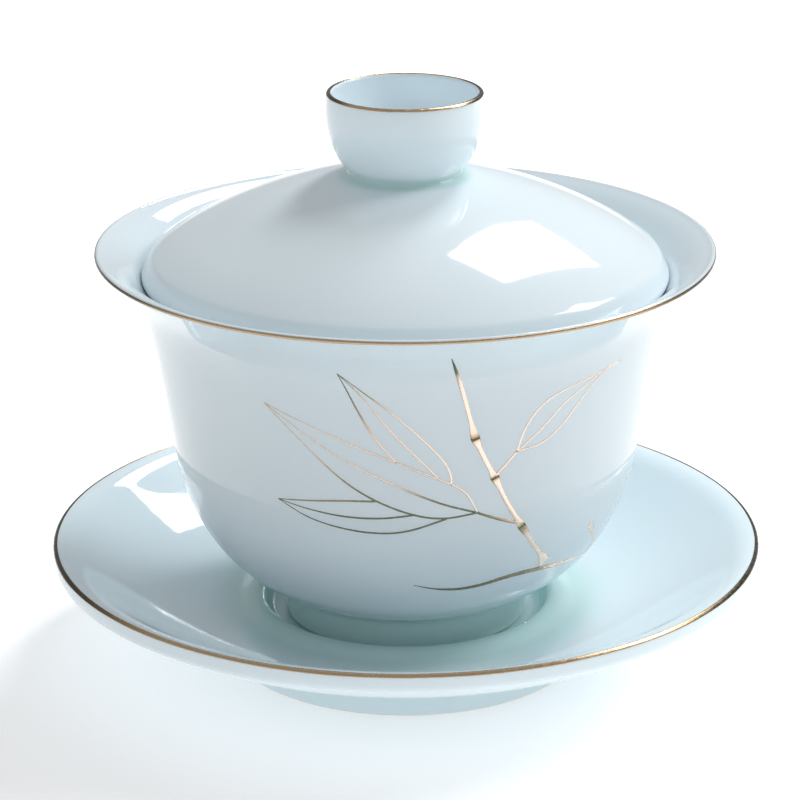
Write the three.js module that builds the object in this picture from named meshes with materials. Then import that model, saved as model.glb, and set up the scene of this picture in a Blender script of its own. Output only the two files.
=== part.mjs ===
// Gaiwan: a lidded porcelain tea bowl on its saucer, with gilded rims and a gilt bamboo drawing.
// Millimetres, +Z up. The origin is the centre of the saucer's foot, so the table is z = 0, and the
// drawing faces -Y. All three vessels are turned shapes around Z, drawn as [radius, height] outlines.
import * as THREE from 'three';

// Driving dimensions
const saucerRadius = 58.5;
const saucerHeight = 20.4;
const saucerFootRadius = 29.6;
const wellFloor = 6.9;          // top of the saucer's recess, where the bowl stands
const bowlFootRadius = 20;
const bowlLipRadius = 49.83;    // where the flared wall turns over into its rounded lip
const bowlLipHeight = 69.31;
const bowlWall = 2.35;
const bowlLipWall = 0.95;
const lidWall = 2.4;
const lidRim = [41.4, 65.7];    // centre of the half-round that the lid rests on
const lidShoulder = [40.8, 69.2];   // where the dome rolls over towards the rim
const knobRadius = 12.55;
const knobWall = 0.95;
const knobTop = 95.4;
const restGap = 0.1;            // between a foot or rim and what it rests on
const giltGap = 0.05;
const giltThickness = 0.12;
const drawingGap = 0.1;         // from the bowl's face to the gilt drawing
const drawingRadius = 40;       // of the cylinder that the drawing's degrees are measured round
const strokeStep = 2;
const line = [0.12, 0.34, 0.34];  // widths of a line in a leaf, from its tip to its base
const turns = 48;               // flats around each turned piece

const degrees = Math.PI / 180;

// ---- outlines ----

function bend(steps, from, pull1, pull2, to) {
  const ends = [from, pull1, pull2, to].map(([r, z]) => new THREE.Vector2(r, z));
  const curve = new THREE.CubicBezierCurve(...ends);
  return curve.getPoints(steps).map((point) => [point.x, point.y]);
}

function arc(steps, [r, z], radius, from, to) {
  return Array.from({ length: steps + 1 }, (_, i) => {
    const angle = (from + ((to - from) * i) / steps) * degrees;
    return [r + radius * Math.cos(angle), z + radius * Math.sin(angle)];
  });
}

// The other face of a wall: each point moved to the left of the way the face runs.
function inset(face, thicknessAt) {
  return face.map(([r, z], i) => {
    const [r0, z0] = face[Math.max(i - 1, 0)];
    const [r1, z1] = face[Math.min(i + 1, face.length - 1)];
    const length = Math.hypot(r1 - r0, z1 - z0);
    const wall = thicknessAt(i / (face.length - 1));
    return [r - (wall * (z1 - z0)) / length, z + (wall * (r1 - r0)) / length];
  });
}

// Half-round edge that takes a wall from the end of one face over to the other face.
function edgeOf(face, wall) {
  const [[r0, z0], [r1, z1]] = face.slice(-2);
  const heading = Math.atan2(z1 - z0, r1 - r0);
  const radius = wall / 2;
  const centre = [r1 - radius * Math.sin(heading), z1 + radius * Math.cos(heading)];
  return { centre, radius, from: heading / degrees - 90, to: heading / degrees + 90, steps: 6 };
}

function overEdge({ centre, radius, from, to, steps }) {
  return arc(steps, centre, radius, from, to);
}

// Thin band of gilt that lies over a rounded edge, from one of the edge's steps to another.
function giltOver({ centre, radius, from, to, steps }, first, last) {
  const step = (to - from) / steps;
  const start = from + first * step;
  const end = from + last * step;
  const outside = arc(last - first, centre, radius + giltGap + giltThickness, start, end);
  const inside = arc(last - first, centre, radius + giltGap, end, start);
  return [...outside, ...inside, outside[0]];
}

// ---- saucer: rim, dished floor and a recessed well inside a raised ring ----

const saucerEdge = {
  centre: [saucerRadius - 0.6, saucerHeight - 0.6],
  radius: 0.6,
  from: 0,
  to: 100,
  steps: 4,
};

function saucerOutline() {
  const recess = wellFloor - 3;
  const footInner = saucerFootRadius - 2.9;
  const saucerEdgeOver = overEdge(saucerEdge);
  return [
    [0, recess],
    ...bend(3, [footInner - 2, recess], [footInner - 0.4, recess], [footInner - 0.1, 3], [footInner, 0.9]),
    ...arc(2, [footInner + 0.8, 0.8], 0.8, 180, 270),
    ...arc(3, [saucerFootRadius - 0.6, 0.7], 0.7, -90, -15),
    ...bend(3, [31, 5], [31.4, 6.4], [32.2, 6.9], [33.8, 6.9]),
    ...bend(7, [33.8, 6.9], [39.5, 6.9], [50.4, 12.9], [57, 16.8]).slice(1),
    ...bend(3, [57, 16.8], [57.9, 17.3], [saucerRadius, 17.7], [saucerRadius, 18.7]).slice(1),
    ...saucerEdgeOver,
    ...bend(3, saucerEdgeOver.at(-1), [56.4, 20.25], [55.2, 19.6], [54, 18.75]).slice(1),
    ...bend(7, [54, 18.75], [47.6, 14.2], [40, 9.2], [29, 9.1]).slice(1),
    ...bend(4, [29, 9.1], [27.2, 9.1], [26.6, 10], [24.7, 10]).slice(1),
    ...bend(5, [24.7, 10], [22.9, 10], [23.4, wellFloor], [21.2, wellFloor]).slice(1),
    [0, wellFloor],
  ];
}

// ---- bowl: turned foot, round belly, wall that flares to a thin lip ----

const bowlBelly = bend(8, [20.9, 12.85], [32.8, 17.9], [36.7, 28.5], [37.86, 36.07]);
const bowlFlare = bend(9, [37.86, 36.07], [41.97, 62.64], [42.1, 62.2], [bowlLipRadius, bowlLipHeight]);
const bowlEdge = edgeOf(bowlFlare, bowlLipWall);

function bowlOutline() {
  const footBottom = wellFloor + restGap;
  const ceiling = footBottom + 3.6;
  const footInner = bowlFootRadius - 2.6;
  const thinning = (along) => bowlWall - (bowlWall - bowlLipWall) * along ** 10;
  const belly = inset(bowlBelly, () => bowlWall).slice(3);
  return [
    [0, ceiling],
    ...bend(3, [footInner - 2, ceiling], [footInner - 0.3, ceiling], [footInner, ceiling - 0.8],
      [footInner, footBottom + 0.8]),
    ...arc(2, [footInner + 0.7, footBottom + 0.7], 0.7, 180, 270),
    ...arc(2, [bowlFootRadius - 0.7, footBottom + 0.7], 0.7, 270, 360),
    ...bend(3, [bowlFootRadius, 11.2], [bowlFootRadius, 12.2], [20.3, 12.6], bowlBelly[0]),
    ...bowlBelly.slice(1),
    ...bowlFlare.slice(1),
    ...overEdge(bowlEdge).slice(1),
    ...inset(bowlFlare, thinning).reverse().slice(1),
    ...belly.reverse().slice(1),
    ...bend(5, belly.at(-1), [22, 17.6], [16, 14.3], [6, 14]).slice(1),
    [0, 14],
  ];
}

// ---- lid: dome that rolls over into a half-round rim, with a hollow knob turned in one piece ----

const lidDome = bend(8, lidShoulder, [33, 75.2], [20, 79.9], [10.4, 81.8]);
const knobFace = bend(7, [9.2, 82.8], [11.24, 84.5], [13.2, 89.5], [knobRadius, knobTop - knobWall / 2]);
const knobEdge = edgeOf(knobFace, knobWall);

function lidOutline() {
  const knobFloor = 86.2;
  const inside = inset(lidDome, () => lidWall).reverse();
  const rimRadius = lidWall / 2;
  const rim = arc(7, lidRim, rimRadius, 180, 390);
  const knobEdgeOver = overEdge(knobEdge);
  return [
    [0, inside[0][1] + 0.2],
    ...inside,
    ...bend(2, inside.at(-1), [39.8, 66.9], [40.2, 66.4], rim[0]).slice(1),
    ...rim.slice(1),
    ...bend(4, rim.at(-1), [41.9, 67.25], [41.6, 68.5], lidShoulder).slice(1),
    ...lidDome.slice(1),
    ...bend(3, [10.4, 81.8], [9.6, 81.95], [8.9, 82.2], [9.2, 82.8]).slice(1),
    ...knobFace.slice(1),
    ...knobEdgeOver.slice(1),
    ...bend(5, knobEdgeOver.at(-1), [12.2, 89.5], [9.6, knobFloor], [5, knobFloor]).slice(1),
    [0, knobFloor],
  ];
}

// ---- gilt drawing: a bamboo stem with four leaves, on a line of ground, on the bowl's front ----

// Each stroke follows a smooth line through [degrees to the right of the front, height] points.
// Its widths are spread evenly along it. A leaf has two edges and a vein.
const strokes = {
  stem: {
    points: [[8.5, 66], [11.4, 60], [13.8, 54.3], [15.3, 50.7], [17.7, 47.2], [20.5, 43.6],
      [24.5, 38.4], [28.7, 34.1], [33.2, 30.2], [38, 26.6], [39.2, 25.8]],
    widths: [0.1, 0.5, 0.8, 0.9, 1.7, 0.9, 1.7, 0.9, 0.9, 1.7, 1, 1.1, 2.4],
  },
  ground: {
    points: [[2, 24.7], [8, 23.7], [14, 23.3], [20.5, 23.6], [28, 24.4], [36, 24.3], [45, 23.9], [60, 22.3]],
    widths: [0.1, 0.6, 0.8, 1, 1, 0.6, 0.4],
  },
  shoot: { points: [[62, 22.5], [63.4, 23.8], [59, 26.6], [53.5, 30]], widths: [0.3, 0.3, 0.5, 1.2] },
  high_leaf_right: {
    points: [[-13.6, 62.5], [-8.9, 59.4], [-2.7, 55.6], [3, 51.6], [8, 47.6], [10, 45], [10.3, 43.9]],
    widths: line,
  },
  high_leaf_vein: { points: [[-10.4, 59.4], [-7.3, 56.8], [-2.7, 52.2], [6.8, 45.1]], widths: line },
  high_leaf_left: { points: [[-12.8, 60.8], [-10.6, 56.8], [-7, 51.7], [-2.7, 48]], widths: line },
  long_leaf_top: {
    points: [[-31.7, 55.4], [-19.5, 52.2], [-11, 49.7], [-2.8, 47.4], [8, 44], [13.3, 41.6], [16, 39.2]],
    widths: line,
  },
  long_leaf_vein: {
    points: [[-25, 52.4], [-17.1, 48.8], [-8.4, 45.3], [6.4, 40.4], [14.2, 38.5]],
    widths: line,
  },
  long_leaf_bottom: {
    points: [[-28, 52.6], [-20, 47.3], [-13.3, 43.2], [-6.3, 40.3], [1.8, 38.1], [8.8, 37.2],
      [16.9, 37.4], [21.9, 36.3], [26.4, 35.3]],
    widths: line,
  },
  low_leaf_top: { points: [[-31, 38.8], [-22.3, 39.6], [-14.7, 40], [-8, 40.2]], widths: line },
  low_leaf_vein: {
    points: [[-27, 38.4], [-22, 37.9], [-14.9, 37.4], [-6.4, 37.4], [0.5, 37.7]],
    widths: line,
  },
  low_leaf_bottom: {
    points: [[-27.5, 37.6], [-22, 36.2], [-16.3, 35.4], [-7.7, 34.8], [0, 35.2], [7.8, 36.4]],
    widths: line,
  },
  right_leaf_top: {
    points: [[52.3, 58.9], [44.5, 58.4], [36.4, 56.9], [30.3, 54.8], [27.1, 51.6], [26.2, 49.2]],
    widths: line,
  },
  right_leaf_vein: { points: [[45, 57.2], [37.1, 54], [31.1, 50.8], [27.9, 48.8]], widths: line },
  right_leaf_bottom: {
    points: [[45.6, 56.4], [41, 53.4], [36.6, 50.3], [31.5, 48.3], [22.6, 45.5]],
    widths: line,
  },
};

function between(values, along) {
  const place = along * (values.length - 1);
  const i = Math.min(Math.floor(place), values.length - 2);
  return values[i] + (values[i + 1] - values[i]) * (place - i);
}

// Radius of the bowl's outer face at a height on its belly or flare.
function bowlRadiusAt(height) {
  const face = [...bowlBelly, ...bowlFlare.slice(1)];
  const above = face.findIndex((point) => point[1] > height);
  const [r0, z0] = face[above - 1];
  const [r1, z1] = face[above];
  return r0 + ((r1 - r0) * (height - z0)) / (z1 - z0);
}

// A flat strip along the stroke, laid out on a cylinder and then set just off the bowl's face.
// Each step has four corners: two on the glaze's side and two on the outer side.
function strokeGeometry({ points, widths }) {
  const middle = new THREE.SplineCurve(
    points.map(([angle, height]) => new THREE.Vector2(angle * degrees * drawingRadius, height)),
  );
  const steps = Math.ceil(middle.getLength() / strokeStep);
  const corners = [];
  for (let i = 0; i <= steps; i++) {
    const point = middle.getPointAt(i / steps);
    const aside = middle.getTangentAt(i / steps).rotateAround(new THREE.Vector2(), Math.PI / 2);
    const half = between(widths, i / steps) / 2;
    for (const [side, lift] of [[-half, 0], [half, 0], [half, giltThickness], [-half, giltThickness]]) {
      const place = point.clone().addScaledVector(aside, side);
      const radius = bowlRadiusAt(place.y) + drawingGap + lift;
      const angle = place.x / drawingRadius;
      corners.push(radius * Math.sin(angle), -radius * Math.cos(angle), place.y);
    }
  }
  const end = 4 * steps;
  const faces = [0, 2, 1, 0, 3, 2, end, end + 1, end + 2, end, end + 2, end + 3];
  for (let step = 0; step < end; step += 4) {
    for (let i = 0; i < 4; i++) {
      const here = step + i;
      const beside = step + ((i + 1) % 4);
      faces.push(here, beside, beside + 4, here, beside + 4, here + 4);
    }
  }
  const geometry = new THREE.BufferGeometry();
  geometry.setAttribute('position', new THREE.Float32BufferAttribute(corners, 3));
  geometry.setIndex(faces);
  return geometry.toNonIndexed();
}

// ---- meshes ----

const porcelain = { color: 0xd3dfe4, roughness: 0.12, metalness: 0 };
const gilt = { color: 0xb98a4b, roughness: 0.25, metalness: 1 };

function part(name, geometry, finish) {
  const mesh = new THREE.Mesh(geometry, new THREE.MeshStandardMaterial(finish));
  mesh.name = name;
  return mesh;
}

function turned(name, outline, finish) {
  const points = outline.map(([r, z]) => new THREE.Vector2(r, z));
  return part(name, new THREE.LatheGeometry(points, turns).rotateX(Math.PI / 2), finish);
}

const gaiwan = new THREE.Group();
gaiwan.add(
  turned('saucer', saucerOutline(), porcelain),
  turned('saucer_gilt_line', giltOver(saucerEdge, 1, 4), gilt),
  turned('bowl', bowlOutline(), porcelain),
  turned('bowl_gilt_line', giltOver(bowlEdge, 1, 3), gilt),
  ...Object.entries(strokes).map(([name, stroke]) => part(`bamboo_${name}`, strokeGeometry(stroke), gilt)),
  turned('lid', lidOutline(), porcelain),
  turned('knob_gilt_line', giltOver(knobEdge, 0, 4), gilt),
);

export default gaiwan;
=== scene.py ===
"""Looks of the gaiwan: glazed porcelain saucer, bowl and lid, with gilt rims and a gilt bamboo drawing.

The outlines and strokes are given in millimetres and are the frame's own, drawn with more steps.
Each piece replaces the CAD node that it stands for, at the same place and the same size.
"""

import math

import bmesh
import bpy
from mathutils import Euler, Matrix, Vector
from mathutils.geometry import interpolate_bezier


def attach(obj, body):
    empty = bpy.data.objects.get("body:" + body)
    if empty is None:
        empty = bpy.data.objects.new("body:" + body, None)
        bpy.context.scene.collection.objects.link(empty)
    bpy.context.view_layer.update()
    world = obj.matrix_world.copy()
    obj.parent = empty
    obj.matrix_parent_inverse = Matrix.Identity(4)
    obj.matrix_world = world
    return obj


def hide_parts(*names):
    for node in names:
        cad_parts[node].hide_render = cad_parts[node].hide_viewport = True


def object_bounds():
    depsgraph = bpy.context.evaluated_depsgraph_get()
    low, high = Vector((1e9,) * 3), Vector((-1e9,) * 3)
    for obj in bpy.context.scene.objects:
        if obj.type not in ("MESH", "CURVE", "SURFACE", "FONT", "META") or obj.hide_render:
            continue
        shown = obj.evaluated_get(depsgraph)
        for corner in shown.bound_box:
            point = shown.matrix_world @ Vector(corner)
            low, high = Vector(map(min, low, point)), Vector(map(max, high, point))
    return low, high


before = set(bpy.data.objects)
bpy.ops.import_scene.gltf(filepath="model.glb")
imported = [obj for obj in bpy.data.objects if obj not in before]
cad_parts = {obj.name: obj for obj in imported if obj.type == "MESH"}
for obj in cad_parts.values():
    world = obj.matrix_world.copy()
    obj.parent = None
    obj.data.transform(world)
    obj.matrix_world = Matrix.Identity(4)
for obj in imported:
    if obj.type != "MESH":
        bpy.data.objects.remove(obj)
cad_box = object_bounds()

MM = 0.001  # outlines, strokes and pools are in millimetres, and Blender is in metres
FLATS = 288  # around each turned piece

# ---- camera ----

EYE = (0, -0.4822, 0.2142)  # metres
PITCH = 0.3406  # radians down from level
YAW = 0.0019
ROLL = -0.0029
LENS = 140.1  # millimetres, on a sensor 36 mm wide


def make_camera():
    data = bpy.data.cameras.new("camera")
    data.lens = LENS
    data.clip_start = 0.01
    camera = bpy.data.objects.new("camera", data)
    turn = Euler((math.pi / 2 - PITCH, 0, YAW)).to_matrix().to_4x4()
    camera.matrix_world = Matrix.Translation(EYE) @ turn @ Matrix.Rotation(ROLL, 4, "Z")
    bpy.context.scene.collection.objects.link(camera)
    bpy.context.scene.camera = camera


# ---- outlines: lists of (radius, height) in millimetres ----


def bend(steps, start, pull_1, pull_2, end):
    """Points along a Bezier curve, with both ends."""
    points = [Vector(p) for p in (start, pull_1, pull_2, end)]
    return [tuple(p) for p in interpolate_bezier(*points, steps + 1)]


def arc(steps, centre, radius, start, end):
    """Points along an arc between two angles in degrees, with both ends."""
    points = []
    for i in range(steps + 1):
        angle = math.radians(start + (end - start) * i / steps)
        points.append((centre[0] + radius * math.cos(angle), centre[1] + radius * math.sin(angle)))
    return points


def inset(face, thickness_at):
    """The other face of a wall: each point moved to the left of the way the face runs."""
    inner = []
    last = len(face) - 1
    for i, (r, z) in enumerate(face):
        before = face[max(i - 1, 0)]
        after = face[min(i + 1, last)]
        along = Vector(after) - Vector(before)
        along.normalize()
        wall = thickness_at(i / last)
        inner.append((r - wall * along.y, z + wall * along.x))
    return inner


def edge_of(face, wall):
    """Centre, radius and start angle of the half-round edge at the end of a face."""
    (r0, z0), (r1, z1) = face[-2:]
    heading = math.atan2(z1 - z0, r1 - r0)
    radius = wall / 2
    centre = (r1 - radius * math.sin(heading), z1 + radius * math.cos(heading))
    return centre, radius, math.degrees(heading) - 90


def over_edge(edge):
    """The whole half round of an edge."""
    centre, radius, start = edge
    return arc(16, centre, radius, start, start + 180)


SAUCER_RADIUS = 58.5
SAUCER_EDGE = ((57.9, 19.8), 0.6, 0)
SAUCER_RECESS = 3.9  # the ceiling of the hollow inside the foot ring
DISH_UNDERSIDE = 6.9  # beside the foot ring
DISH_FLOOR = 9.1
RING_TOP = 10  # of the raised ring round the well
WELL_FLOOR = 6.9


def saucer_outline():
    edge = arc(12, *SAUCER_EDGE, 100)
    return [
        (0, SAUCER_RECESS),
        *bend(12, (24.7, SAUCER_RECESS), (26.3, SAUCER_RECESS), (26.6, 3), (26.7, 0.9)),
        *arc(8, (27.5, 0.8), 0.8, 180, 270),
        *arc(8, (29, 0.7), 0.7, -90, -15),
        *bend(12, (31, 5), (31.4, 6.4), (32.2, DISH_UNDERSIDE), (33.8, DISH_UNDERSIDE)),
        *bend(24, (33.8, DISH_UNDERSIDE), (39.5, DISH_UNDERSIDE), (50.4, 12.9), (57, 16.8))[1:],
        *bend(8, (57, 16.8), (57.9, 17.3), (SAUCER_RADIUS, 17.7), (SAUCER_RADIUS, 18.7))[1:],
        *edge,
        *bend(12, edge[-1], (56.4, 20.25), (55.2, 19.6), (54, 18.75))[1:],
        *bend(36, (54, 18.75), (47.6, 14.2), (40, 9.2), (29, DISH_FLOOR))[1:],
        *bend(12, (29, DISH_FLOOR), (27.2, DISH_FLOOR), (26.6, RING_TOP), (24.7, RING_TOP))[1:],
        *bend(12, (24.7, RING_TOP), (22.9, RING_TOP), (23.4, WELL_FLOOR), (21.2, WELL_FLOOR))[1:],
        (0, WELL_FLOOR),
    ]


BOWL_WALL = 2.35
BOWL_LIP_WALL = 0.95
LIP_THINNING = 10  # the higher, the nearer to the lip the wall turns thin
BOWL_RECESS = 10.6  # the ceiling of the hollow inside the foot ring
BOWL_FLOOR = 14
BELLY = bend(36, (20.9, 12.85), (32.8, 17.9), (36.7, 28.5), (37.86, 36.07))
FLARE = bend(36, BELLY[-1], (41.97, 62.64), (42.1, 62.2), (49.83, 69.31))
BOWL_FACE = BELLY + FLARE[1:]
BOWL_EDGE = edge_of(FLARE, BOWL_LIP_WALL)


def bowl_outline():
    thinning = BOWL_LIP_WALL - BOWL_WALL
    inside_flare = inset(FLARE, lambda along: BOWL_WALL + thinning * along**LIP_THINNING)
    floor_joins = 12  # steps up the belly, where the curve from the floor meets the wall
    inside_belly = inset(BELLY, lambda along: BOWL_WALL)[floor_joins:-1]
    return [
        (0, BOWL_RECESS),
        *bend(12, (15.4, BOWL_RECESS), (17.1, BOWL_RECESS), (17.4, 9.8), (17.4, 7.8)),
        *arc(8, (18.1, 7.7), 0.7, 180, 270),
        *arc(8, (19.3, 7.7), 0.7, 270, 360),
        *bend(12, (20, 11.2), (20, 12.2), (20.3, 12.6), BELLY[0]),
        *BOWL_FACE[1:],
        *over_edge(BOWL_EDGE)[1:],
        *reversed(inside_flare[:-1]),
        *reversed(inside_belly),
        *bend(12, inside_belly[0], (22, 17.6), (16, 14.3), (6, BOWL_FLOOR))[1:],
        (0, BOWL_FLOOR),
    ]


LID_WALL = 2.4
LID_RIM = (41.4, 65.7)
LID_SHOULDER = (40.8, 69.2)
KNOB_WALL = 0.95
KNOB_FLOOR = 86.2
DOME_CROWN = 0.2  # by which the dome's inside rises under the knob
DOME = bend(36, LID_SHOULDER, (33, 75.2), (20, 79.9), (10.4, 81.8))
KNOB = bend(24, (9.2, 82.8), (11.24, 84.5), (13.2, 89.5), (12.55, 94.925))
KNOB_EDGE = edge_of(KNOB, KNOB_WALL)


def lid_outline():
    inside = inset(DOME, lambda along: LID_WALL)[::-1]
    rim = arc(18, LID_RIM, LID_WALL / 2, 180, 390)
    knob_edge = over_edge(KNOB_EDGE)
    return [
        (0, inside[0][1] + DOME_CROWN),
        *inside,
        *bend(8, inside[-1], (39.8, 66.9), (40.2, 66.4), rim[0])[1:],
        *rim[1:],
        *bend(12, rim[-1], (41.9, 67.25), (41.6, 68.5), LID_SHOULDER)[1:],
        *DOME[1:],
        *bend(8, (10.4, 81.8), (9.6, 81.95), (8.9, 82.2), KNOB[0])[1:],
        *KNOB[1:],
        *knob_edge[1:],
        *bend(24, knob_edge[-1], (12.2, 89.5), (9.6, KNOB_FLOOR), (5, KNOB_FLOOR))[1:],
        (0, KNOB_FLOOR),
    ]


# ---- meshes ----


def piece_from(name, mesh, material, body, *nodes):
    """A smooth-shaded object that rides on a body and replaces the CAD nodes."""
    bmesh.ops.recalc_face_normals(mesh, faces=mesh.faces)
    data = bpy.data.meshes.new(name)
    mesh.to_mesh(data)
    mesh.free()
    data.shade_smooth()
    data.materials.append(material)
    piece = bpy.data.objects.new(name, data)
    bpy.context.scene.collection.objects.link(piece)
    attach(piece, body)
    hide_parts(*nodes)
    return piece


def join_rings(mesh, rings):
    """Faces between each ring of vertices and the next; a ring may be one point on the axis."""
    for lower, upper in zip(rings, rings[1:]):
        count = max(len(lower), len(upper))
        for i in range(count):
            j = (i + 1) % count
            if len(lower) == 1:
                mesh.faces.new((lower[0], upper[j], upper[i]))
            elif len(upper) == 1:
                mesh.faces.new((lower[i], lower[j], upper[0]))
            else:
                mesh.faces.new((lower[i], lower[j], upper[j], upper[i]))


def turned(name, outline, material, body):
    """A vessel turned around Z, from an outline that starts and ends on the axis."""
    mesh = bmesh.new()
    rings = []
    for radius, height in outline:
        count = FLATS if radius > 0 else 1
        ring = []
        for i in range(count):
            angle = 2 * math.pi * i / count
            x = radius * math.cos(angle)
            y = radius * math.sin(angle)
            ring.append(mesh.verts.new(Vector((x, y, height)) * MM))
        rings.append(ring)
    join_rings(mesh, rings)
    piece = piece_from(name, mesh, material, body, name)


GILT_THICKNESS = 0.05  # above the glaze, and as much again below it
GILT_SLOPE = 6  # degrees from a border of the gilt to its full thickness
SECOND_BORDER_WANDER = 0.7  # share of the first border's


def wander_at(angle, phase):
    """How far a hand-painted border strays, in degrees over the edge, in three lengths of wave."""
    return 3 * math.sin(5 * angle + phase) + 2 * math.sin(13 * angle) + math.sin(31 * angle)


def gilt_line(name, edge, start, end, material, body):
    """Gilt brushed over a rounded edge, a little uneven as painted.

    start and end are in degrees over the edge, counted from where its half round begins.
    """
    centre, radius, first = edge
    mesh = bmesh.new()
    sections = []
    for i in range(FLATS):
        angle = 2 * math.pi * i / FLATS
        wander = wander_at(angle, start)
        low = first + start - wander
        high = first + end + SECOND_BORDER_WANDER * wander
        above = arc(8, centre, radius + GILT_THICKNESS, low + GILT_SLOPE, high - GILT_SLOPE)
        below = arc(3, centre, radius - GILT_THICKNESS, high, low)
        section = []
        for r, z in (*above, *below):
            corner = Vector((r * math.cos(angle), r * math.sin(angle), z))
            section.append(mesh.verts.new(corner * MM))
        sections.append(section)
    join_rings(mesh, [*sections, sections[0]])
    piece = piece_from(name, mesh, material, body, name)


# ---- bamboo drawing ----

DRAWING_RADIUS = 40  # of the cylinder that its degrees are measured round
STROKE_STEP = 0.4
CURVE_STEPS = 24  # between two points of a stroke, to measure its length

# Each node is a list of strokes. A stroke has its points, as (degrees to the right of the front,
# height), then widths and tones of gilt that are each spread evenly along it. Tone 0 is olive, 1 is
# pale rose.
# The tones are partly the gilt's own and partly painted reflection: pale as painted highlight, olive as
# painted shade.
LINE = (0.1, 0.3, 0.32)
CANE = (1.5, 0.75, 0.75, 0.8, 0.8, 1.5)
CANE_TONES = (0.1, 0.9, *[0.97] * 12, 0.9, 0.1)
DRAWING = {
    "bamboo_stem": [
        (
            ((8.5, 66), (11.4, 60), (13.8, 54.3), (15.3, 50.7)),
            (0.1, 0.5, 0.65, 0.65, 0.65, 1.5),
            (0, 0, 0, 0.5, 0.95, *[0.97] * 7, 0.9, 0.1),
        ),
        (((15.3, 50.7), (17.7, 47.2), (20.5, 43.6)), CANE, CANE_TONES),
        (((20.5, 43.6), (24.5, 38.4), (28.7, 34.1)), CANE, CANE_TONES),
        (
            ((28.7, 34.1), (33.2, 30.2), (38, 26.6), (39.4, 25.4)),
            (1.5, 0.8, 0.85, 1, 2.6),
            (0.1, 0.9, 0.95, 0.95, 1, 1, 1),
        ),
    ],
    "bamboo_ground": [
        (
            ((2, 24.7), (8, 23.7), (14, 23.3), (20.5, 23.6), (28, 24.4), (36, 24.5), (45, 23.9), (62, 22.4)),
            (0.1, 0.5, 0.7, 0.9, 0.9, 0.7, 0.5),
            (0.1, 0.1, 0.2, 0.3, 1, 1),
        )
    ],
    "bamboo_shoot": [
        (((62, 22.4), (63.4, 23.8), (59, 26.6), (53.5, 30)), (0.5, 0.4, 0.7, 1.5), (1, 0.9, 1))
    ],
    "bamboo_high_leaf_right": [
        (
            ((-13.6, 62.5), (-8.9, 59.4), (-2.7, 55.6), (3, 51.6), (8, 47.6), (10, 44.9), (10.3, 43)),
            LINE,
            (0, 0.3, 0.95, 1, 1, 1),
        )
    ],
    "bamboo_high_leaf_vein": [
        (((-13.6, 62.5), (-7.8, 57.3), (-2.7, 52.2), (7.4, 44.3)), LINE, (0.2, 0.8, 0.9, 0.95, 0.95))
    ],
    "bamboo_high_leaf_left": [
        (((-13.6, 62.5), (-10.6, 56.8), (-7, 51.7), (-2.1, 47.2)), LINE, (0, 0, 0.4, 0.9, 0.9))
    ],
    "bamboo_long_leaf_top": [
        (
            ((-31.7, 55.4), (-19.5, 52.2), (-11, 49.7), (-2.8, 47.4), (8, 44), (13.5, 41.6), (16.8, 37.8)),
            LINE,
            (0.7, 1, 1, 0.8, 0.95, 0.9),
        )
    ],
    "bamboo_long_leaf_vein": [
        (
            ((-31.7, 55.4), (-17.1, 48.6), (-8.4, 45.3), (6.4, 40.4), (16.8, 37.8)),
            LINE,
            (0.7, 1, 0.95, 0.95, 0.1, 0),
        )
    ],
    "bamboo_long_leaf_bottom": [
        (
            ((-31.7, 55.4), (-20, 47.3), (-13.3, 43.2), (-6.3, 40.3), (1.8, 38.1), (8.8, 37.3), (16.8, 37.8)),
            LINE,
            (0.8, 0.8, 0.1, 0, 0),
        ),
        (((16.8, 37.8), (21.9, 36.3), (28.6, 34.6)), (0.4, 0.55), (0, 0.3, 0.7)),
    ],
    "bamboo_low_leaf_top": [
        (((-31, 38.8), (-22.3, 39.5), (-14.7, 40.1), (-6.3, 40.4)), LINE, (0, 0.3, 0.3, 0.1))
    ],
    "bamboo_low_leaf_vein": [
        (((-31, 38.8), (-23.7, 38), (-14.9, 37.4), (-6.4, 37.4), (2.3, 38.1)), LINE, (0, 0))
    ],
    "bamboo_low_leaf_bottom": [
        (((-31, 38.8), (-23.8, 36.6), (-16.3, 35.4), (-7.7, 34.8), (0, 35.2), (9.5, 37.2)), LINE, (0, 0))
    ],
    "bamboo_right_leaf_top": [
        (((52.3, 58.9), (36.4, 56.9), (30.3, 54.8), (27.1, 51.6), (25.4, 47.6)), LINE, (1, 1, 0.9))
    ],
    "bamboo_right_leaf_vein": [
        (((52.3, 58.9), (46, 58.1), (37.1, 54.7), (31.1, 50.8), (25.4, 47.6)), LINE, (1, 1, 0.9))
    ],
    "bamboo_right_leaf_bottom": [
        (((52.3, 58.9), (45.3, 57.2), (36.6, 50.6), (31.5, 48.3), (25.4, 47.6)), LINE, (1, 1, 0.9)),
        (((25.4, 47.6), (23.2, 45.8), (20.6, 43.8)), (0.4, 0.5), (0.9, 0.8)),
    ],
}


def spread(values, along):
    """The value at a share of the way along a list that is spread evenly."""
    place = along * (len(values) - 1)
    i = min(int(place), len(values) - 2)
    return values[i] + (values[i + 1] - values[i]) * (place - i)


def smooth_line(points, step):
    """A curve through all the points, a step apart, as (place, direction, share of the way)."""
    ends = [Vector(p) for p in points]
    ends = [2 * ends[0] - ends[1], *ends, 2 * ends[-1] - ends[-2]]
    fine = []
    for a, b, c, d in zip(ends, ends[1:], ends[2:], ends[3:]):
        fine += interpolate_bezier(b, b + (c - a) / 6, c - (d - b) / 6, c, CURVE_STEPS)[:-1]
    fine.append(ends[-2])
    reached = [0]
    for a, b in zip(fine, fine[1:]):
        reached.append(reached[-1] + (b - a).length)
    length = reached[-1]
    count = math.ceil(length / step)
    line = []
    i = 0
    for k in range(count + 1):
        target = length * k / count
        while i < len(fine) - 2 and reached[i + 1] < target:
            i += 1
        share = (target - reached[i]) / (reached[i + 1] - reached[i])
        direction = fine[i + 1] - fine[i]
        line.append((fine[i] + direction * share, direction.normalized(), k / count))
    return line


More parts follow.
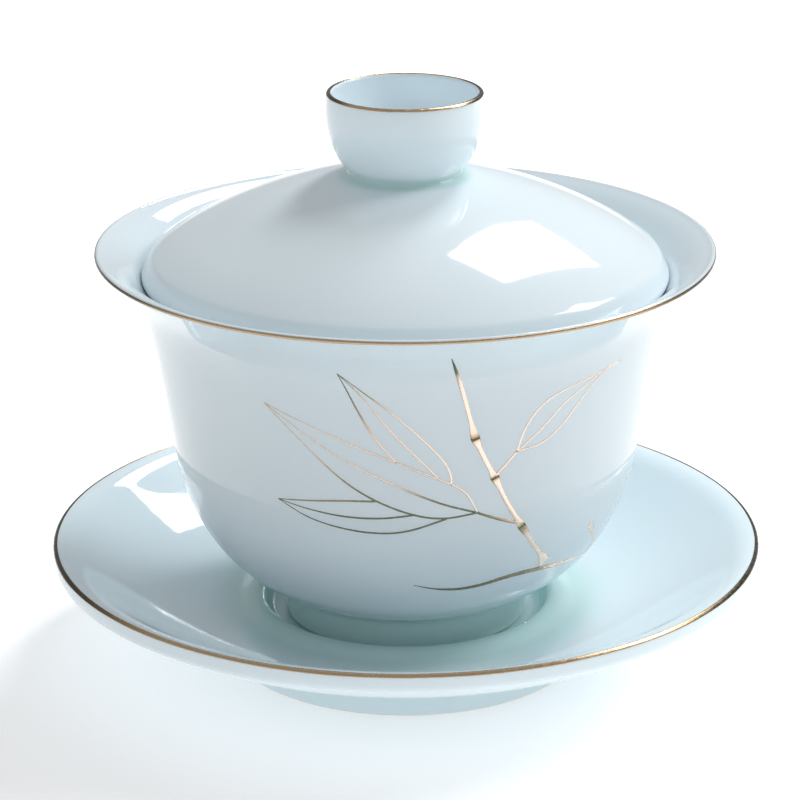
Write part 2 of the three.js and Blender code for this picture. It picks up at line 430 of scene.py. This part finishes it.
def bowl_radius_at(height):
    for (r0, z0), (r1, z1) in zip(BOWL_FACE, BOWL_FACE[1:]):
        if z0 <= height <= z1:
            return r0 + (r1 - r0) * (height - z0) / (z1 - z0)
    raise ValueError(f"the bowl's face has no point at height {height}")


# Across a stroke: (share of the half width, height over the glaze, how much darker the gilt is)
STROKE_SECTION = (
    (-1, -0.03, 0.5),
    (-1, 0.01, 0.5),
    (-0.72, 0.05, 0),
    (0.72, 0.05, 0),
    (1, 0.01, 0.5),
    (1, -0.03, 0.5),
)
WIDEST_SHADED = 0.5  # half width in millimetres from which the borders get no darker


def drawn(name, strokes, material):
    """Gilt strokes that lie on the bowl's face, with their tones kept at the mesh's vertices."""
    mesh = bmesh.new()
    tone_layer = mesh.verts.layers.float.new("tone")
    for points, widths, tones in strokes:
        flat_points = [(math.radians(angle) * DRAWING_RADIUS, height) for angle, height in points]
        sections = []
        for place, direction, along in smooth_line(flat_points, STROKE_STEP):
            aside = Vector((-direction.y, direction.x))
            half = spread(widths, along) / 2
            tone = spread(tones, along)
            section = []
            for share, lift, darker in STROKE_SECTION:
                x, height = place + aside * half * share
                radius = bowl_radius_at(height) + lift
                angle = x / DRAWING_RADIUS
                corner = Vector((radius * math.sin(angle), -radius * math.cos(angle), height))
                vertex = mesh.verts.new(corner * MM)
                vertex[tone_layer] = tone - darker * min(half, WIDEST_SHADED)
                section.append(vertex)
            sections.append(section)
        join_rings(mesh, sections)
        mesh.faces.new(sections[0])
        mesh.faces.new(sections[-1])
    piece = piece_from(name, mesh, material, "bowl", name)


# ---- materials ----


class Nodes:
    """Adds nodes to a material and joins them by name."""

    def __init__(self, name):
        self.material = bpy.data.materials.new(name)
        self.material.use_nodes = True
        self.tree = self.material.node_tree
        self.shader = self.tree.nodes["Principled BSDF"]

    def put(self, socket, value):
        if isinstance(value, bpy.types.NodeSocket):
            self.tree.links.new(value, socket)
        else:
            socket.default_value = value

    def add(self, kind, inputs, **settings):
        node = self.tree.nodes.new(kind)
        for key, value in settings.items():
            setattr(node, key, value)
        for key, value in inputs.items():
            self.put(node.inputs[key], value)
        return node

    def math(self, operation, a, b=0.0):
        return self.add("ShaderNodeMath", {0: a, 1: b}, operation=operation).outputs[0]

    def ramp(self, value, low, high, to_low=0.0, to_high=1.0):
        """Smoothly from to_low, where value is low, to to_high, where it is high."""
        inputs = {"Value": value, "From Min": low, "From Max": high, "To Min": to_low, "To Max": to_high}
        return self.add("ShaderNodeMapRange", inputs, interpolation_type="SMOOTHSTEP").outputs[0]

    def mix(self, share, a, b):
        node = self.add("ShaderNodeMix", {0: share, 6: a, 7: b}, data_type="RGBA")
        return node.outputs[2]

    def noise(self, where, scale, detail):
        inputs = {"Vector": where, "Scale": scale, "Detail": detail}
        return self.add("ShaderNodeTexNoise", inputs).outputs["Fac"]

    def patches(self, where, scale, detail, low, high):
        """Noise spread over a range, with 0.3 to 0.7 as the span that noise mostly keeps to."""
        return self.ramp(self.noise(where, scale, detail), 0.3, 0.7, low, high)

    def drift(self, value, share, where, scale, detail):
        """A value raised and lowered by noise, by up to half the share."""
        centred = self.math("SUBTRACT", self.noise(where, scale, detail), 0.5)
        return self.math("ADD", value, self.math("MULTIPLY", centred, share))

    def relief(self, where, grain, strength=1.0, below=None):
        """A bumped surface; grain is (scale of the noise, its detail, depth in metres)."""
        scale, detail, depth = grain
        height = self.noise(where, scale, detail)
        inputs = {"Height": height, "Distance": depth, "Strength": strength}
        if below is not None:
            inputs["Normal"] = below
        return self.add("ShaderNodeBump", inputs).outputs[0]

    def set(self, **values):
        """Sets the shader's inputs, with _ for each space in a name."""
        for key, value in values.items():
            self.put(self.shader.inputs[key.replace("_", " ")], value)


BOWL_GLAZE = (0.675, 0.765, 0.81, 1)
PLATE_GLAZE = (0.79, 0.90, 0.96, 1)
# teal of thick glaze, also used as painted shade in the recesses
THICK_GLAZE_AND_SHADE = (0.62, 0.82, 0.82, 1)
BARE_CLAY = (0.78, 0.76, 0.70, 1)
BARE_BORDER = 0.12  # millimetres over which bare clay turns to glaze
BARE_ROUGHNESS = 0.7  # more than the glaze's
GLAZE_ROUGHNESS = (0.04, 0.075)
GILT_ROUGHNESS = (0.16, 0.34)

# Pools of glaze, which also serve as painted shade in the recesses round the foot, the well and the knob:
# (radius, height, reach) in millimetres, which are where the glaze stands thickest and how far the pool
# reaches from there
SAUCER_POOLS_AND_SHADE = [(6, 6.9, 16), (17, 7.2, 9), (26, 8.5, 12)]
BOWL_POOLS_AND_SHADE = [(20, 11, 14), (0, 13, 18)]
LID_POOLS_AND_SHADE = [(9.4, 82, 2.5)]
POOL_DRIFT = 0.25  # range over which noise changes the depth, which is 1 at the thickest

# Grains of relief: (scale of the noise, its detail, depth in metres)
WAVES = (60, 1, 0.00004)
ORANGE_PEEL = (700, 2, 0.000004)
CLAY_GRAIN = (4000, 3, 0.00006)
BRUSH_MARKS = (2500, 2, 0.000006)

# Colours of gilt, from the darkest to the palest; on the rims the darkest serve as painted shade
RIM_GILT = [(0.04, 0.037, 0.02, 1), (0.22, 0.16, 0.09, 1), (0.50, 0.36, 0.22, 1), (0.64, 0.49, 0.34, 1)]
RIM_BRIGHT = 0.7  # place on those colours at the front and back of a rim, away from the painted shade at the left and right
RIM_MOTTLE = 0.12
DRAWING_GILT = [(0.17, 0.18, 0.11, 1), (0.38, 0.29, 0.18, 1), (0.74, 0.54, 0.39, 1), (0.93, 0.76, 0.64, 1)]
TONE_DRIFT = 0.3


def sum_of_squares(nodes, a, b):
    return nodes.math("ADD", nodes.math("MULTIPLY", a, a), nodes.math("MULTIPLY", b, b))


def pool_and_shade_depth(nodes, x, y, z, pools_and_shade):
    """How thick the glaze stands, which is also how deep the painted shade is: 1 in the middle of a pool, 0
    beyond its reach.
    """
    radius = nodes.math("SQRT", sum_of_squares(nodes, x, y))
    depth = 0.0
    for pool_radius, pool_height, reach in pools_and_shade:
        across = nodes.math("SUBTRACT", radius, pool_radius * MM)
        up = nodes.math("SUBTRACT", z, pool_height * MM)
        distance = nodes.math("SQRT", sum_of_squares(nodes, across, up))
        depth = nodes.math("MAXIMUM", depth, nodes.ramp(distance, 0, reach * MM, 1, 0))
    return depth


def glaze(name, thin_colour, pools_and_shade, bare_below):
    """Pale blue glaze, teal where it pools and as painted shade in the recesses, and bare clay below a height
    in millimetres.
    """
    nodes = Nodes(name)
    where = nodes.add("ShaderNodeTexCoord", {}).outputs["Object"]
    x, y, z = nodes.add("ShaderNodeSeparateXYZ", {0: where}).outputs
    # teal where the glaze pools, partly painted shade in the recesses round the foot, the well and the knob
    depth = nodes.drift(pool_and_shade_depth(nodes, x, y, z, pools_and_shade), POOL_DRIFT, where, 28, 3)
    colour = nodes.mix(nodes.ramp(depth, 0, 1), thin_colour, THICK_GLAZE_AND_SHADE)
    bare = nodes.ramp(z, bare_below * MM, (bare_below + BARE_BORDER) * MM, 1, 0)
    colour = nodes.mix(bare, colour, BARE_CLAY)
    waves = nodes.relief(where, WAVES)
    peel = nodes.relief(where, ORANGE_PEEL, below=waves)
    surface = nodes.relief(where, CLAY_GRAIN, strength=bare, below=peel)
    gloss = nodes.patches(where, 90, 2, *GLAZE_ROUGHNESS)
    roughness = nodes.math("ADD", gloss, nodes.math("MULTIPLY", bare, BARE_ROUGHNESS))
    nodes.set(Base_Color=colour, Roughness=roughness, Normal=surface, IOR=1.5)
    nodes.set(Subsurface_Weight=0.15, Subsurface_Radius=(1.0, 1.2, 1.3), Subsurface_Scale=0.002)
    return nodes.material


def gilt(name, colours, colour_share):
    """Fired gold: colours are the ramp's, and colour_share(nodes, where) is the place on it."""
    nodes = Nodes(name)
    where = nodes.add("ShaderNodeTexCoord", {}).outputs["Object"]
    share = colour_share(nodes, where)
    ramp = nodes.add("ShaderNodeValToRGB", {0: share})
    steps = ramp.color_ramp.elements
    steps[0].color = colours[0]
    steps[1].color = colours[-1]
    for i, colour in enumerate(colours[1:-1], 1):
        steps.new(i / (len(colours) - 1)).color = colour
    roughness = nodes.patches(where, 900, 3, *GILT_ROUGHNESS)
    brushed = nodes.relief(where, BRUSH_MARKS)
    nodes.set(Base_Color=ramp.outputs[0], Metallic=1.0, Roughness=roughness, Normal=brushed)
    return nodes.material


def sides_shaded_and_mottled(nodes, where):
    """Painted shade: dark at the left and right and bright between them, standing in for the gold's dark
    reflections there, with a fine mottle over that.
    """
    x, y = nodes.add("ShaderNodeSeparateXYZ", {0: where}).outputs[:2]
    sideways = nodes.math("DIVIDE", nodes.math("MULTIPLY", x, x), sum_of_squares(nodes, x, y))
    # painted shade: the gilt turns dark towards the left and right of each rim
    side_shade = nodes.ramp(sideways, 0.35, 0.85, RIM_BRIGHT, 0)
    mottle = nodes.math("MULTIPLY", nodes.noise(where, 300, 3), RIM_MOTTLE)
    return nodes.math("ADD", side_shade, mottle)


def toned(nodes, where):
    """The tone kept at the stroke's vertices, drifting a little."""
    # the tones carry painted highlight and painted shade as well as the gilt's own tone
    tone = nodes.add("ShaderNodeAttribute", {}, attribute_name="tone").outputs["Fac"]
    return nodes.drift(tone, TONE_DRIFT, where, 900, 2)


# ---- stage ----

FLOOR_REACH = 4  # metres from the middle to each side
FLOOR_GLOW = 0.32
WORLD_STRENGTH = 0.45
AIM_HEIGHT = 0.05  # metres above the origin, where the softboxes face


def make_floor():
    nodes = Nodes("floor_paper")
    where = nodes.add("ShaderNodeTexCoord", {}).outputs["Object"]
    colour = nodes.mix(nodes.noise(where, 40, 2), (0.93, 0.93, 0.93, 1), (0.95, 0.95, 0.95, 1))
    nodes.set(Base_Color=colour, Roughness=0.9, Emission_Color=(1, 1, 1, 1), Emission_Strength=FLOOR_GLOW)
    mesh = bmesh.new()
    bmesh.ops.create_grid(mesh, x_segments=8, y_segments=8, size=FLOOR_REACH)
    data = bpy.data.meshes.new("floor")
    mesh.to_mesh(data)
    mesh.free()
    data.materials.append(nodes.material)
    floor = bpy.data.objects.new("floor", data)
    bpy.context.scene.collection.objects.link(floor)
    floor.location.z = cad_box[0][2]


def softbox(name, azimuth, elevation, distance, width, height, radiance):
    """A soft white panel that faces the object: azimuth 0 is the camera's side, 90 is to its right.

    Angles are in degrees, and the distance, width and height are in metres.
    """
    data = bpy.data.lights.new(name, "AREA")
    data.shape = "RECTANGLE"
    data.size = width
    data.size_y = height
    data.energy = radiance * math.pi * width * height
    light = bpy.data.objects.new(name, data)
    turn = Euler((math.radians(90 - elevation), 0, math.radians(azimuth)))
    outwards = Vector((0, 0, 1))
    outwards.rotate(turn)
    light.rotation_euler = turn
    light.location = Vector((0, 0, AIM_HEIGHT)) + outwards * distance
    bpy.context.scene.collection.objects.link(light)


def make_light():
    world = bpy.data.worlds.new("studio")
    world.use_nodes = True
    background = world.node_tree.nodes["Background"]
    background.inputs["Color"].default_value = (1, 1, 1, 1)
    background.inputs["Strength"].default_value = WORLD_STRENGTH
    bpy.context.scene.world = world
    bpy.context.scene.view_settings.view_transform = "Standard"
    softbox("key_strip", 150.5, 48.7, distance=1.2, width=0.266, height=0.58, radiance=16)
    softbox("right_panel", 104, 40, distance=1.3, width=0.45, height=0.45, radiance=9)


# ---- build ----

make_camera()
make_floor()
make_light()

saucer_glaze = glaze("saucer_glaze", PLATE_GLAZE, SAUCER_POOLS_AND_SHADE, bare_below=0.12)
bowl_glaze = glaze("bowl_glaze", BOWL_GLAZE, BOWL_POOLS_AND_SHADE, bare_below=7.1)
lid_glaze = glaze("lid_glaze", PLATE_GLAZE, LID_POOLS_AND_SHADE, bare_below=0)
rim_gilt = gilt("rim_gilt", RIM_GILT, sides_shaded_and_mottled)
drawing_gilt = gilt("drawing_gilt", DRAWING_GILT, toned)

turned("saucer", saucer_outline(), saucer_glaze, "saucer")
turned("bowl", bowl_outline(), bowl_glaze, "bowl")
turned("lid", lid_outline(), lid_glaze, "lid")
gilt_line("saucer_gilt_line", SAUCER_EDGE, 16, 100, rim_gilt, "saucer")
gilt_line("bowl_gilt_line", BOWL_EDGE, 24, 90, rim_gilt, "bowl")
gilt_line("knob_gilt_line", KNOB_EDGE, 6, 116, rim_gilt, "lid")
for node_name, strokes in DRAWING.items():
    drawn(node_name, strokes, drawing_gilt)
